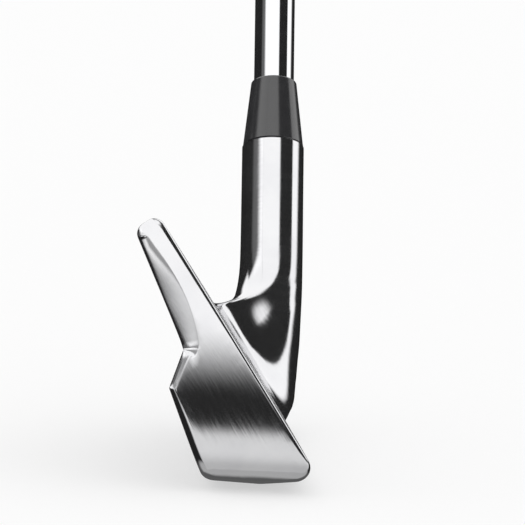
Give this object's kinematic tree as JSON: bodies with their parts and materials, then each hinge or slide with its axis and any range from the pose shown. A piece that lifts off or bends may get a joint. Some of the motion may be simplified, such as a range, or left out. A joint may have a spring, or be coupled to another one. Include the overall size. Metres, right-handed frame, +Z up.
{
  "type": "iron golf club",
  "caption": "Forged muscle-back iron with a brushed blade head, a plastic ferrule, a stepped steel shaft and a tapered rubber grip.",
  "frame": {"origin": "on the ground under the middle of the sole's lowest line, where the sole rests at address", "axes": "+X is the target direction, so the striking face looks towards +X and upwards by the loft; +Y runs from the toe to the heel and on towards the golfer; +Z is up; the shaft axis lies in the YZ plane and leans towards +Y by the lie"},
  "size_m": [0.0508, 0.5175, 0.843],
  "materials": {
    "head_steel": "satin brushed chrome plate",
    "ferrule_plastic": "semi-gloss turned plastic",
    "shaft_chrome": "polished plate",
    "epoxy": "cured resin",
    "weight_brass": "turned",
    "label_film": "plain printed film, no marks",
    "tape": "paper backed adhesive",
    "grip_rubber": "matte moulded rubber with cord",
    "cap_rubber": "harder satin rubber"
  },
  "bodies": {
    "root": {"head": "head_steel", "ferrule": "ferrule_plastic", "shaft": "shaft_chrome", "epoxy_bond": "epoxy", "tip_weight": "weight_brass", "shaft_label": "label_film", "grip_tape": "tape", "grip": "grip_rubber", "grip_cap": "cap_rubber"}
  },
  "joints": []
}
